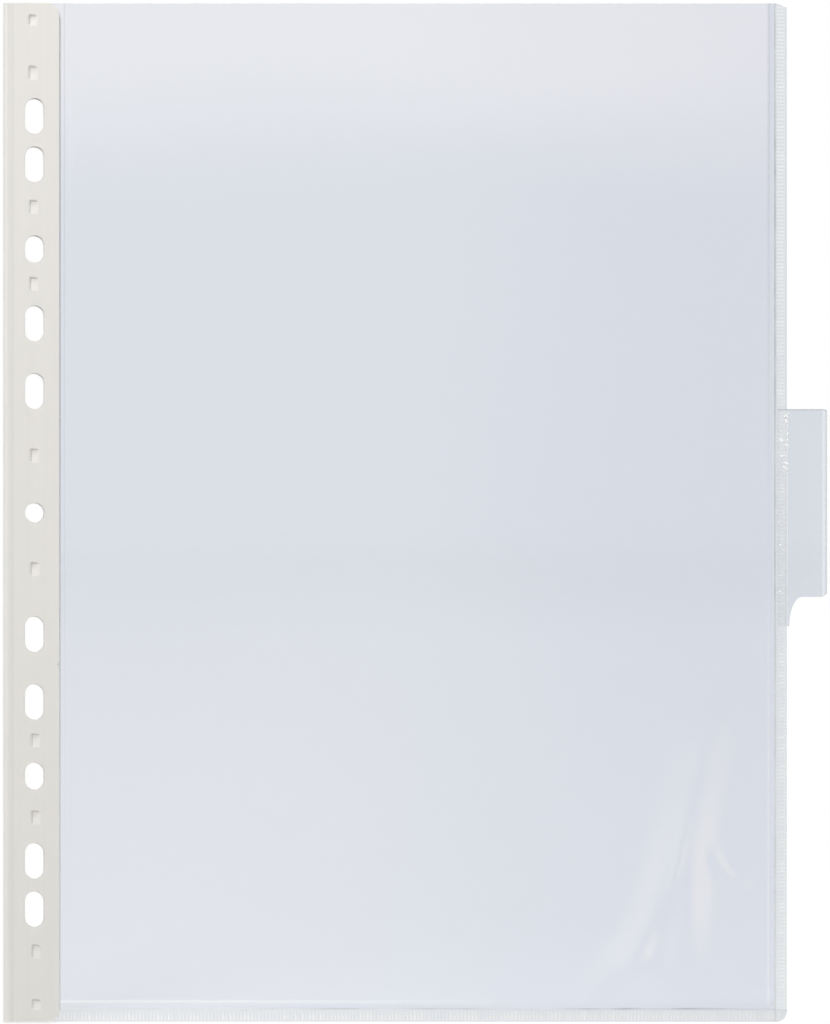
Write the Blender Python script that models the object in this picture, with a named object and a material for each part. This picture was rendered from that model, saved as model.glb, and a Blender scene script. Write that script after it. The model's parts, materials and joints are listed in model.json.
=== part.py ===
"""Clear A4 display pocket on a punched, folded binding strip, with an index tab on its side seam.

Metres, +Z up, front towards -Y. The origin is the centre of the round filing hole, midway through
the strip. The page turns about the flex line, where the films leave the stiff strip.
"""
import math

import bmesh
import bpy

# Films: two clear sheets, pressed together in the strip and in the welded seams
PANEL_HEIGHT = 0.310
POCKET_WIDTH = 0.2163  # flex line to the weld line of the side seam
FILM_THICKNESS = 0.0002
FILM_GAP = 0.00015  # between the two films where they are pressed together
SEAM_WIDTH = 0.00365
FRONT_RISE = 0.0003  # how far each film stands off inside the seams
BACK_RISE = 0.0001
SHOULDER_RUN = 0.0021  # width over which a film rises
FLEX_FLAT = 0.0006  # flat stretch from the slit on the flex line to the left shoulder
FLEX_CLEARANCE = 0.00005  # spare width of the slit on the flex line, each way
TOP_CORNER_RUN = 0.0034  # slanted upper right corner
TOP_CORNER_DROP = 0.0014
BOTTOM_CORNER_RADIUS = 0.003

# Knurl that the sealing wheel presses into the front of both seams
KNURL_PITCH = 0.0011
KNURL_HEIGHT = 0.0001
KNURL_BASE = 0.00002  # height of the valleys over the film
KNURL_INSET = 0.0005  # from the weld line and from the outer edge

# Binding strip: a sheet folded in a hairpin over the left edges of the films
STRIP_WIDTH = 0.0171
STRIP_THICKNESS = 0.00045
STRIP_CLEARANCE = 0.00015  # leaf to film
STRIP_CORNER_RADIUS = 0.0036
STRIP_BEAD_PROUD = 0.00025  # how far the fold's bead stands over the leaves
STRIP_BEAD_BLEND = 0.0008
FLEX_OFFSET = 0.0015  # strip's free edge to the flex line
FILM_TUCK = 0.0032  # fold to the hidden edges of the films

# Filing holes, from the middle outwards, the same upwards and downwards
HOLE_INSET = 0.0096  # fold to the line of holes
HOLE_WIDTH = 0.00595
LONG_PLAY = 0.00485  # how far a ring can shift along a slot
SHORT_PLAY = 0.00225
MIDDLE_STEP = 0.0370  # round hole to the first slot
FIRST_STEP = 0.0206
SECOND_STEP = 0.0226
THIRD_STEP = 0.0258
LAST_STEP = 0.0147

# Weld points: pressed dimples over posts that stake the leaves together through the films
DIMPLE_WIDTH = 0.0031
DIMPLE_LENGTH = 0.0050
DIMPLE_DEPTH = 0.0003
DIMPLE_DRAFT = 0.0006  # width of the slanted walls
DIMPLE_ROOM = 0.012  # shortest gap between holes that takes a weld point
OUTER_DIMPLE_STEP = 0.0076  # end of the last slot to the dimple beyond it
END_DIMPLE_INSET = 0.0049  # end of the strip to the last dimple
POST_CLEARANCE = 0.0003

# Index tab: a clear sheet folded in a hairpin and welded over the side seam
TAB_THICKNESS = 0.00025
TAB_CLEARANCE = 0.00015  # leaf to knurl
TAB_TOP = 0.0315  # above the round hole
TAB_HEIGHT = 0.0572
TAB_REACH = 0.0123  # past the edge of the seam
TAB_INSET = 0.00095  # weld line to the tab's inner edge
TAB_BEAD_PROUD = 0.0002
TAB_BEAD_BLEND = 0.0008
TAB_TOP_RADIUS = 0.001
TAB_BOTTOM_RADIUS = 0.002
FOOT_REACH = 0.0046  # where the tab's lower edge sweeps down into its foot
FOOT_DROP = 0.0089
FOOT_END = 0.00075

# Facets
ROUND_STEPS = 6  # per quarter turn of a small radius
SHOULDER_STEPS = 4
THROUGH = 0.005  # cutters run this far past the middle of the sheets

# Places worked out from the sizes above
HALF_HEIGHT = PANEL_HEIGHT / 2
FOLD_X = -HOLE_INSET
STRIP_EDGE_X = FOLD_X + STRIP_WIDTH
FLEX_X = STRIP_EDGE_X + FLEX_OFFSET
FILM_LEVEL = (FILM_GAP + FILM_THICKNESS) / 2  # middle of a pressed film
FILM_FACE = FILM_LEVEL + FILM_THICKNESS / 2
FLEX_GAP = 2 * (FILM_FACE + FLEX_CLEARANCE)  # slit that lets the page turn a quarter either way
STRIP_LEVEL = FILM_FACE + STRIP_CLEARANCE + STRIP_THICKNESS / 2
STRIP_FACE = STRIP_LEVEL + STRIP_THICKNESS / 2
TAB_LEVEL = FILM_FACE + KNURL_HEIGHT + TAB_CLEARANCE + TAB_THICKNESS / 2
PAGE_EDGE = POCKET_WIDTH + SEAM_WIDTH  # the seam's outer edge, from the flex line


def clear_scene():
    for thing in list(bpy.data.objects):
        bpy.data.objects.remove(thing)


def plastic(name, colour, roughness, alpha=1.0):
    """A Principled material of its own for one sub-part."""
    material = bpy.data.materials.new(name)
    material.use_nodes = True
    shader = material.node_tree.nodes["Principled BSDF"]
    shader.inputs["Base Color"].default_value = (*colour, 1.0)
    shader.inputs["Roughness"].default_value = roughness
    shader.inputs["Metallic"].default_value = 0.0
    shader.inputs["Alpha"].default_value = alpha
    return material


def add_object(name, bm, parent=None, material=None):
    """A named object from a bmesh, under an empty where it turns with the page."""
    mesh = bpy.data.meshes.new(name)
    bm.to_mesh(mesh)
    bm.free()
    thing = bpy.data.objects.new(name, mesh)
    thing.parent = parent
    bpy.context.collection.objects.link(thing)
    if material:
        mesh.materials.append(material)
    return thing


def add_cutter(name, bm, parent=None):
    """A hidden shape that a Boolean works with."""
    bmesh.ops.recalc_face_normals(bm, faces=bm.faces)
    thing = add_object(name, bm, parent)
    thing.hide_render = True
    thing.display_type = "WIRE"
    return thing


def boolean(thing, operation, cutter):
    modifier = thing.modifiers.new(cutter.name, "BOOLEAN")
    modifier.operation = operation
    modifier.object = cutter
    modifier.solver = "EXACT"


def thicken(thing, thickness):
    """Gives a formed sheet its wall, half to each side."""
    modifier = thing.modifiers.new("wall", "SOLIDIFY")
    modifier.thickness = thickness
    modifier.offset = 0.0
    modifier.use_even_offset = True


def arc(centre, radii, start, end, steps):
    """Points of an elliptic arc between two angles in degrees, both ends included."""
    points = []
    for step in range(steps + 1):
        angle = math.radians(start + (end - start) * step / steps)
        points.append((centre[0] + radii[0] * math.cos(angle), centre[1] + radii[1] * math.sin(angle)))
    return points


def extrude_outline(bm, outline, near, far, place):
    """A prism of a flat outline; place turns (u, v, depth) into a corner of the part."""
    face = bm.faces.new([bm.verts.new(place(u, v, near)) for u, v in outline])
    sweep = bmesh.ops.extrude_face_region(bm, geom=[face])
    moved = [item for item in sweep["geom"] if isinstance(item, bmesh.types.BMVert)]
    origin = bm.verts.new(place(0, 0, near))
    target = bm.verts.new(place(0, 0, far))
    bmesh.ops.translate(bm, verts=moved, vec=target.co - origin.co)
    bmesh.ops.delete(bm, geom=[origin, target], context="VERTS")
    return moved


def through_y(u, v, depth):
    """Outlines drawn on the front face, swept through the sheets."""
    return (u, depth, v)


def box_outline(low_x, high_x, low_z, high_z):
    return [(low_x, low_z), (high_x, low_z), (high_x, high_z), (low_x, high_z)]


def hairpin(open_x, fold_x, level, thickness, proud, blend):
    """Middle line of a folded sheet, as (x, y): front leaf, rounded bead at the fold, back leaf."""
    turn = 1 if fold_x > open_x else -1
    radius = level + proud
    centre = turn * fold_x - thickness / 2 - radius
    run = math.sqrt((radius + blend) ** 2 - (level + blend) ** 2)
    lean = math.degrees(math.atan2(level + blend, run))
    neck = arc((centre - run, -level - blend), (blend, blend), 90, lean, ROUND_STEPS // 2)
    bead = arc((centre, 0), (radius, radius), lean - 180, 180 - lean, 2 * ROUND_STEPS)
    front = [(turn * open_x, -level)] + neck
    back = [(u, -v) for u, v in reversed(front)]
    return [(turn * u, v) for u, v in front + bead[1:-1] + back]


def folded_sheet(name, path, low_z, high_z, thickness, parent, material):
    """A sheet bent along its middle line and run from one height to another."""
    bm = bmesh.new()
    verts = [bm.verts.new((x, y, low_z)) for x, y in path]
    edges = [bm.edges.new(pair) for pair in zip(verts, verts[1:])]
    sweep = bmesh.ops.extrude_edge_only(bm, edges=edges)
    moved = [item for item in sweep["geom"] if isinstance(item, bmesh.types.BMVert)]
    bmesh.ops.translate(bm, verts=moved, vec=(0, 0, high_z - low_z))
    sheet = add_object(name, bm, parent, material)
    sheet.data.shade_smooth()
    sheet.data.set_sharp_from_angle(angle=math.radians(40))
    thicken(sheet, thickness)
    return sheet


def slot_end(height, play):
    return height + (play + HOLE_WIDTH) / 2


def filing_holes():
    """Centre height and play of the round hole and of the slots above it that the strip has room for."""
    steps = (
        (MIDDLE_STEP, LONG_PLAY),
        (FIRST_STEP, LONG_PLAY),
        (SECOND_STEP, SHORT_PLAY),
        (THIRD_STEP, LONG_PLAY),
        (LAST_STEP, LONG_PLAY),
    )
    holes = [(0.0, 0.0)]
    height = 0.0
    for step, play in steps:
        height += step
        if slot_end(height, play) + DIMPLE_LENGTH + END_DIMPLE_INSET < HALF_HEIGHT:
            holes.append((height, play))
    return holes


def weld_points():
    """Heights of the weld points: midway in each long gap between holes, and beyond the last slot."""
    holes = filing_holes()
    heights = []
    for (low, low_play), (high, high_play) in zip(holes, holes[1:]):
        bottom = slot_end(low, low_play)
        top = high - (high_play + HOLE_WIDTH) / 2
        if top - bottom > DIMPLE_ROOM:
            heights.append((bottom + top) / 2)
    beyond = slot_end(*holes[-1]) + OUTER_DIMPLE_STEP
    end = HALF_HEIGHT - END_DIMPLE_INSET
    if end - beyond > DIMPLE_ROOM:
        heights.append(beyond)
    heights.append(end)
    return [side * height for height in heights for side in (-1, 1)]


def slot_outline(height, play):
    """An oblong hole with round ends; with no play it is just round."""
    radii = (HOLE_WIDTH / 2, HOLE_WIDTH / 2)
    top = arc((0, height + play / 2), radii, 0, 180, 2 * ROUND_STEPS)
    bottom = arc((0, height - play / 2), radii, 180, 360, 2 * ROUND_STEPS)
    return top + bottom if play > 0 else top + bottom[1:-1]


def hole_cutter():
    bm = bmesh.new()
    for height, play in filing_holes():
        for side in (-1, 1) if height > 0 else (1,):
            extrude_outline(bm, slot_outline(side * height, play), -THROUGH, THROUGH, through_y)
    return add_cutter("filing_hole_cutter", bm)


def weld_point_boxes(name, width, length, near, far):
    """One block for each weld point: the posts, or the windows that let them through the films."""
    bm = bmesh.new()
    for height in weld_points():
        outline = box_outline(-width / 2, width / 2, height - length / 2, height + length / 2)
        extrude_outline(bm, outline, near, far, through_y)
    return add_cutter(name, bm)


def dimple_cutter():
    """Pressed recesses with slanted walls, open to the front."""
    bm = bmesh.new()
    floor = DIMPLE_DEPTH - STRIP_FACE
    flare = 1 + THROUGH / DIMPLE_DEPTH
    half_width = DIMPLE_WIDTH / 2 - DIMPLE_DRAFT
    half_length = DIMPLE_LENGTH / 2 - DIMPLE_DRAFT
    for height in weld_points():
        outline = box_outline(-half_width, half_width, height - half_length, height + half_length)
        mouth = extrude_outline(bm, outline, floor, -STRIP_FACE - THROUGH, through_y)
        for vert in mouth:
            vert.co.x += math.copysign(DIMPLE_DRAFT * flare, vert.co.x)
            vert.co.z += math.copysign(DIMPLE_DRAFT * flare, vert.co.z - height)
    return add_cutter("weld_dimple_cutter", bm)


def strip_outline():
    """Square at the fold, rounded at the two free corners."""
    radii = (STRIP_CORNER_RADIUS, STRIP_CORNER_RADIUS)
    side = STRIP_EDGE_X - STRIP_CORNER_RADIUS
    end = HALF_HEIGHT - STRIP_CORNER_RADIUS
    outline = [(FOLD_X - THROUGH, HALF_HEIGHT), (FOLD_X - THROUGH, -HALF_HEIGHT)]
    outline += arc((side, -end), radii, -90, 0, ROUND_STEPS)
    outline += arc((side, end), radii, 0, 90, ROUND_STEPS)
    return outline


def binding_strip(holes):
    path = hairpin(STRIP_EDGE_X, FOLD_X, STRIP_LEVEL, STRIP_THICKNESS, STRIP_BEAD_PROUD, STRIP_BEAD_BLEND)
    material = plastic("off_white_polypropylene", (0.753, 0.730, 0.701), 0.45)
    overrun = HALF_HEIGHT + THROUGH
    strip = folded_sheet("binding_strip", path, -overrun, overrun, STRIP_THICKNESS, None, material)
    bm = bmesh.new()
    extrude_outline(bm, strip_outline(), -THROUGH, THROUGH, through_y)
    post_width = DIMPLE_WIDTH - 2 * DIMPLE_DRAFT
    post_length = DIMPLE_LENGTH - 2 * DIMPLE_DRAFT
    boolean(strip, "INTERSECT", add_cutter("strip_outline_cutter", bm))
    posts = weld_point_boxes("weld_posts", post_width, post_length, -STRIP_LEVEL, STRIP_LEVEL)
    boolean(strip, "UNION", posts)
    boolean(strip, "DIFFERENCE", dimple_cutter())
    boolean(strip, "DIFFERENCE", holes)


def film_margin(name, side, material, holes, windows):
    """The stretch of a film that the strip holds, punched and staked with it."""
    bm = bmesh.new()
    outline = box_outline(FOLD_X + FILM_TUCK, FLEX_X - FLEX_GAP / 2, -HALF_HEIGHT, HALF_HEIGHT)
    inner = side * FILM_GAP / 2
    extrude_outline(bm, outline, inner, side * FILM_FACE, through_y)
    bmesh.ops.recalc_face_normals(bm, faces=bm.faces)
    margin = add_object(name, bm, None, material)
    boolean(margin, "DIFFERENCE", windows)
    boolean(margin, "DIFFERENCE", holes)


def ramp(distance):
    """Smooth rise from 0 to 1 over the shoulder."""
    share = min(max(distance / SHOULDER_RUN, 0.0), 1.0)
    return share * share * (3 - 2 * share)


def shoulder(start, turn):
    """Stations across a shoulder, from its foot in the direction of turn."""
    return [start + turn * SHOULDER_RUN * step / SHOULDER_STEPS for step in range(SHOULDER_STEPS + 1)]


def film_sheet(name, side, rise, page, material):
    """The stretch of a film that turns: pressed at the seams, raised inside them, free at the top."""
    weld_z = SEAM_WIDTH - HALF_HEIGHT
    rise_x = FLEX_GAP / 2 + FLEX_FLAT
    columns = [FLEX_GAP / 2] + shoulder(rise_x, 1)
    columns += list(reversed(shoulder(POCKET_WIDTH, -1))) + [PAGE_EDGE]
    rows = [-HALF_HEIGHT] + shoulder(weld_z, 1) + [HALF_HEIGHT]
    bm = bmesh.new()
    grid = []
    for z in rows:
        line = []
        for x in columns:
            lift = ramp(x - rise_x) * ramp(POCKET_WIDTH - x) * ramp(z - weld_z)
            line.append(bm.verts.new((x, side * (FILM_LEVEL + rise * lift), z)))
        grid.append(line)
    for low, high in zip(grid, grid[1:]):
        for left in range(len(columns) - 1):
            bm.faces.new((low[left], low[left + 1], high[left + 1], high[left]))
    sheet = add_object(name, bm, page, material)
    thicken(sheet, FILM_THICKNESS)
    return sheet


def film_outline():
    """The free outline of the page: slanted upper right corner, rounded lower right one."""
    radius = BOTTOM_CORNER_RADIUS
    outline = [(0, HALF_HEIGHT), (0, -HALF_HEIGHT)]
    outline += arc((PAGE_EDGE - radius, radius - HALF_HEIGHT), (radius, radius), -90, 0, ROUND_STEPS)
    outline.append((PAGE_EDGE, HALF_HEIGHT - TOP_CORNER_DROP))
    outline.append((PAGE_EDGE - TOP_CORNER_RUN, HALF_HEIGHT))
    return outline


def ridges(length):
    """Outline of a row of knurl ridges, as (distance along the seam, height over the film's middle)."""
    count = int(length / KNURL_PITCH)
    base = FILM_FACE - FILM_LEVEL
    valley = base + KNURL_BASE
    crest = base + KNURL_HEIGHT
    outline = [(0.0, 0.0), (0.0, valley)]
    for ridge in range(count):
        outline.append(((ridge + 0.5) * KNURL_PITCH, crest))
        outline.append(((ridge + 1.0) * KNURL_PITCH, valley))
    outline.append((count * KNURL_PITCH, 0.0))
    return outline


def knurl(name, page, start, length, near, far, place):
    bm = bmesh.new()
    outline = [(start + along, -FILM_LEVEL - height) for along, height in ridges(length)]
    extrude_outline(bm, outline, near, far, place)
    return add_cutter(name, bm, page)


def side_knurl(page):
    """Ridges across the side seam, from the bottom seam up to the slanted corner."""
    start = SEAM_WIDTH - HALF_HEIGHT
    length = HALF_HEIGHT - TOP_CORNER_DROP - KNURL_INSET - start
    near = POCKET_WIDTH + KNURL_INSET
    far = PAGE_EDGE - KNURL_INSET
    return knurl("side_knurl", page, start, length, near, far, lambda u, v, depth: (depth, v, u))


def bottom_knurl(page):
    """Ridges across the bottom seam, from the flex line to the side seam."""
    near = KNURL_INSET - HALF_HEIGHT
    far = SEAM_WIDTH - KNURL_INSET - HALF_HEIGHT
    length = POCKET_WIDTH - FLEX_GAP
    return knurl("bottom_knurl", page, FLEX_GAP, length, near, far, lambda u, v, depth: (u, v, depth))


def tab_outline():
    """Front view of the tab: round outer corners, lower edge swept into a foot along the seam."""
    outer = PAGE_EDGE + TAB_REACH
    low = TAB_TOP - TAB_HEIGHT
    foot = low - FOOT_DROP
    top_round = (TAB_TOP_RADIUS, TAB_TOP_RADIUS)
    bottom_round = (TAB_BOTTOM_RADIUS, TAB_BOTTOM_RADIUS)
    sweep = (FOOT_REACH - FOOT_END, FOOT_DROP)
    outline = arc((outer - TAB_TOP_RADIUS, TAB_TOP - TAB_TOP_RADIUS), top_round, 90, 0, ROUND_STEPS)
    outline += arc((outer - TAB_BOTTOM_RADIUS, low + TAB_BOTTOM_RADIUS), bottom_round, 0, -90, ROUND_STEPS)
    outline += arc((PAGE_EDGE + FOOT_REACH, foot), sweep, 90, 180, ROUND_STEPS)
    outline += [(POCKET_WIDTH, foot), (POCKET_WIDTH, TAB_TOP)]
    return outline


def index_tab(page):
    open_x = POCKET_WIDTH + TAB_INSET
    fold_x = PAGE_EDGE + TAB_REACH
    path = hairpin(open_x, fold_x, TAB_LEVEL, TAB_THICKNESS, TAB_BEAD_PROUD, TAB_BEAD_BLEND)
    material = plastic("clear_tab_film", (0.680, 0.716, 0.776), 0.12, alpha=0.3)
    low = TAB_TOP - TAB_HEIGHT - FOOT_DROP - THROUGH
    high = TAB_TOP + THROUGH
    tab = folded_sheet("index_tab", path, low, high, TAB_THICKNESS, page, material)
    bm = bmesh.new()
    extrude_outline(bm, tab_outline(), -THROUGH, THROUGH, through_y)
    boolean(tab, "INTERSECT", add_cutter("tab_outline_cutter", bm, page))


def build():
    clear_scene()
    page = bpy.data.objects.new("page_turn_axis", None)
    page.location = (FLEX_X, 0, 0)
    bpy.context.collection.objects.link(page)
    front = plastic("clear_front_film", (0.708, 0.737, 0.799), 0.1, alpha=0.3)
    back = plastic("clear_back_film", (0.708, 0.737, 0.799), 0.1, alpha=0.3)

    holes = hole_cutter()
    binding_strip(holes)
    window_width = DIMPLE_WIDTH - 2 * DIMPLE_DRAFT + 2 * POST_CLEARANCE
    window_length = DIMPLE_LENGTH - 2 * DIMPLE_DRAFT + 2 * POST_CLEARANCE
    windows = weld_point_boxes("weld_windows", window_width, window_length, -THROUGH, THROUGH)
    film_margin("front_film_margin", -1, front, holes, windows)
    film_margin("back_film_margin", 1, back, holes, windows)

    bm = bmesh.new()
    extrude_outline(bm, film_outline(), -THROUGH, THROUGH, through_y)
    outline = add_cutter("film_outline_cutter", bm, page)
    front_film = film_sheet("front_film", -1, FRONT_RISE, page, front)
    boolean(front_film, "INTERSECT", outline)
    boolean(front_film, "UNION", side_knurl(page))
    boolean(front_film, "UNION", bottom_knurl(page))
    back_film = film_sheet("back_film", 1, BACK_RISE, page, back)
    boolean(back_film, "INTERSECT", outline)
    index_tab(page)


build()
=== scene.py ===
import json
import math

import bmesh
import bpy
import numpy as np
from mathutils import Matrix, Vector


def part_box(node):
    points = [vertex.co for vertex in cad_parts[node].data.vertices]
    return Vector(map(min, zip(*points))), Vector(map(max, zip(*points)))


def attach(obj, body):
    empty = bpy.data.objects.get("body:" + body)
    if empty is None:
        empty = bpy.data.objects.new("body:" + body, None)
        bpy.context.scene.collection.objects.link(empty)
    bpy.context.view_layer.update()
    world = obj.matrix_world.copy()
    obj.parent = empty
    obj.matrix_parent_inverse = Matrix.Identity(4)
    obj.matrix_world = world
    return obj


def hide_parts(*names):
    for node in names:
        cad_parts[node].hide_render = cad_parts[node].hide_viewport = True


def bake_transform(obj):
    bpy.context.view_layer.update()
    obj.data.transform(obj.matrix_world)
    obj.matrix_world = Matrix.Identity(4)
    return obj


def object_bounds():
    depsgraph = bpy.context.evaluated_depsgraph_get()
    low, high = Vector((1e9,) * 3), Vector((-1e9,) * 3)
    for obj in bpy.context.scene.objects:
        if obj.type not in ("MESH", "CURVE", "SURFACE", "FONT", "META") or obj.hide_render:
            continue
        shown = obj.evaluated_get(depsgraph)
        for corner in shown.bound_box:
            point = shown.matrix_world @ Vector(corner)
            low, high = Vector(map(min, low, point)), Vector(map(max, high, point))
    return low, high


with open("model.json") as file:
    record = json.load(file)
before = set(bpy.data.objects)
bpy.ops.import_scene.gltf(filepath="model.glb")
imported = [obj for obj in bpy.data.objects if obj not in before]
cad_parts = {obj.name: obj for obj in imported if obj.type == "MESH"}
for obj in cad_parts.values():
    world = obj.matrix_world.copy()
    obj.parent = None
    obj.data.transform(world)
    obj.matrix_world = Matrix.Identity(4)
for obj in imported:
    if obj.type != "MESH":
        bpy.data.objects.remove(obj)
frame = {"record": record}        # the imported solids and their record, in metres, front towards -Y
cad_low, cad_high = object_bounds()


# Camera: the panel was photographed square on from far away, so a long lens stands straight in front of the
# middle of the picture. The round hole, at the origin, ties the picture's pixels to metres.
PIXEL = 0.0003045
PICTURE = (830, 1024)
HOLE_PIXEL = (34.9, 512.6)
CAMERA_DISTANCE = 1.0
CAMERA_RANGE = (0.05, 50)  # nearest and farthest that it sees


def place(name, data):
    """A new object at the origin."""
    thing = bpy.data.objects.new(name, data)
    bpy.context.scene.collection.objects.link(thing)
    return thing


def from_pixel(across, down):
    """Where a pixel of the picture falls on the panel, as (x, z)."""
    return (across - HOLE_PIXEL[0]) * PIXEL, (HOLE_PIXEL[1] - down) * PIXEL


camera = place("camera", bpy.data.cameras.new("camera"))
middle_x, middle_z = from_pixel(PICTURE[0] / 2, PICTURE[1] / 2)
camera.location = (middle_x, -CAMERA_DISTANCE, middle_z)
camera.rotation_euler = (math.radians(90), 0, 0)
camera.data.lens = camera.data.sensor_width * CAMERA_DISTANCE / (PICTURE[1] * PIXEL)
camera.data.clip_start, camera.data.clip_end = CAMERA_RANGE
bpy.context.scene.camera = camera
bpy.context.scene.view_settings.view_transform = "Standard"


# Studio: a white sweep of floor under the panel and a white room around it, with the soft lamps of a product
# table. The room is plain white to the eye and in clear film, and dimmer as light on the object.
AMBIENT = 0.30
BACK_AMBIENT = 0.6  # more of it from behind, where there are no lamps
FLOOR_DROP = 0.0004  # how far under the panel it lies
FLOOR_REACH = 12  # from its middle to each side
FLOOR_GLOW = 0.62  # share of the floor's look that lamps and shadows don't change
GLOW_DEPTH = (-2.0, 3.0)  # front and back of the stretch over which that share brightens
GLOW_LEVEL = (1.21, 1.44)
LAMP_WATTS = 4  # that give a square metre of lamp a radiance of 1


def linear(colour):
    """Linear RGBA of an sRGB hex colour."""
    parts = [int(colour[start:start + 2], 16) / 255 for start in (0, 2, 4)]
    return [part / 12.92 if part <= 0.04045 else ((part + 0.055) / 1.055) ** 2.4 for part in parts] + [1.0]


def add_node(tree, kind, inputs=None, **settings):
    """A node with its settings; an input is a value or the socket that feeds it."""
    node = tree.nodes.new(kind)
    for name, value in settings.items():
        setattr(node, name, value)
    for name, value in (inputs or {}).items():
        if isinstance(value, bpy.types.NodeSocket):
            tree.links.new(value, node.inputs[name])
        else:
            node.inputs[name].default_value = value
    return node


def calc(tree, operation, *values):
    """The result of a Math node."""
    return add_node(tree, "ShaderNodeMath", dict(enumerate(values)), operation=operation).outputs[0]


def seen_directly(tree):
    """1 for what the eye sees straight, mirrored or through clear film, 0 for light on a surface."""
    path = add_node(tree, "ShaderNodeLightPath").outputs
    mirrored = calc(tree, "ADD", path["Is Camera Ray"], path["Is Glossy Ray"])
    both = {0: mirrored, 1: path["Is Transmission Ray"]}
    return add_node(tree, "ShaderNodeMath", both, use_clamp=True).outputs[0]


def softbox(name, at, towards, size, radiance, colour):
    """A rectangular lamp that shows only as light and as a reflection."""
    lamp = bpy.data.lights.new(name, "AREA")
    lamp.shape = "RECTANGLE"
    lamp.size, lamp.size_y = size
    lamp.energy = LAMP_WATTS * size[0] * size[1] * radiance
    lamp.color = linear(colour)[:3]
    box = place(name, lamp)
    box.location = at
    box.rotation_euler = (Vector(towards) - Vector(at)).to_track_quat("-Z", "Y").to_euler()
    box.visible_camera = False
    box.visible_transmission = False
    return box


def reflector(name, distance, left, right, low, high, fade, radiance, colour):
    """An upright card in front of the panel, with edges that fade out, which shows only as a reflection."""
    at = ((left + right) / 2, -distance, (low + high) / 2)
    size = (right - left, high - low)
    box = softbox(name, at, (at[0], 0, at[2]), size, radiance, colour)
    box.visible_diffuse = False
    box.data.use_nodes = True
    tree = box.data.node_tree
    spot = add_node(tree, "ShaderNodeNewGeometry").outputs["Parametric"]
    spot = add_node(tree, "ShaderNodeSeparateXYZ", {0: spot}).outputs
    shares = []
    for axis in (0, 1):
        edge = calc(tree, "PINGPONG", spot[axis], 0.5)
        share = {"Value": edge, "From Max": fade[axis] / size[axis]}
        shares.append(add_node(tree, "ShaderNodeMapRange", share, interpolation_type="SMOOTHSTEP").outputs[0])
    tree.links.new(calc(tree, "MULTIPLY", *shares), tree.nodes["Emission"].inputs["Strength"])


world = bpy.data.worlds.new("white_room")
world.use_nodes = True
bpy.context.scene.world = world
tree = world.node_tree
way = add_node(tree, "ShaderNodeTexCoord").outputs["Generated"]
behind = add_node(tree, "ShaderNodeSeparateXYZ", {0: way}).outputs["Y"]
ambient = {"Value": behind, "To Min": AMBIENT, "To Max": AMBIENT + BACK_AMBIENT}
ambient = add_node(tree, "ShaderNodeMapRange", ambient).outputs[0]
level = {0: seen_directly(tree), 2: ambient, 3: 1.0}
level = add_node(tree, "ShaderNodeMix", level, data_type="FLOAT").outputs[0]
tree.nodes["Background"].inputs["Color"].default_value = linear("FFFFFF")
tree.links.new(level, tree.nodes["Background"].inputs["Strength"])

bm = bmesh.new()
bmesh.ops.create_grid(bm, x_segments=1, y_segments=1, size=FLOOR_REACH)
floor_mesh = bpy.data.meshes.new("floor")
bm.to_mesh(floor_mesh)
bm.free()
floor_mesh.transform(Matrix.Translation((0, 0, cad_low[2] - FLOOR_DROP)))
floor = place("floor", floor_mesh)
floor_paper = bpy.data.materials.new("white_paper_sweep")
floor_paper.use_nodes = True
tree = floor_paper.node_tree
tree.nodes.clear()
glow = calc(tree, "MULTIPLY", seen_directly(tree), FLOOR_GLOW)
matt = add_node(tree, "ShaderNodeBsdfDiffuse", {"Color": linear("C9C9C7")})
spot = add_node(tree, "ShaderNodeTexCoord").outputs["Object"]
away = add_node(tree, "ShaderNodeSeparateXYZ", {0: spot}).outputs["Y"]
white = {"Value": away, "From Min": GLOW_DEPTH[0], "From Max": GLOW_DEPTH[1],
         "To Min": GLOW_LEVEL[0], "To Max": GLOW_LEVEL[1]}
white = add_node(tree, "ShaderNodeMapRange", white).outputs[0]
lit = add_node(tree, "ShaderNodeEmission", {"Color": linear("FFFFFF"), "Strength": white})
sweep = add_node(tree, "ShaderNodeMixShader", {0: glow, 1: matt.outputs[0], 2: lit.outputs[0]})
add_node(tree, "ShaderNodeOutputMaterial", {"Surface": sweep.outputs[0]})
floor_mesh.materials.append(floor_paper)
floor.visible_glossy = False

panel_middle = (middle_x, 0, 0)
softbox("key_lamp", at=(-1.2, -3.0, 1.9), towards=panel_middle, size=(1.5, 1.5),
        radiance=5.8, colour="FFFFFF")
softbox("top_lamp", at=(0.1, -1.05, 3.0), towards=panel_middle, size=(2.2, 1.0),
        radiance=6.2, colour="FFFFFF")
reflector("top_card", distance=1.70, left=-1.4, right=0.74, low=0.25, high=2.2, fade=(0.45, 0.13),
          radiance=1.75, colour="FFF0D2")
reflector("left_card", distance=1.72, left=-2.4, right=0.38, low=-1.2, high=0.6, fade=(0.33, 0.2),
          radiance=0.68, colour="FAFFE4")
reflector("low_card", distance=1.74, left=-1.3, right=0.25, low=-1.5, high=-0.02, fade=(0.32, 0.2),
          radiance=0.36, colour="FFDC50")
reflector("right_card", distance=1.68, left=0.42, right=0.84, low=-1.1, high=-0.02, fade=(0.12, 0.15),
          radiance=1.2, colour="FFE696")


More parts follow.
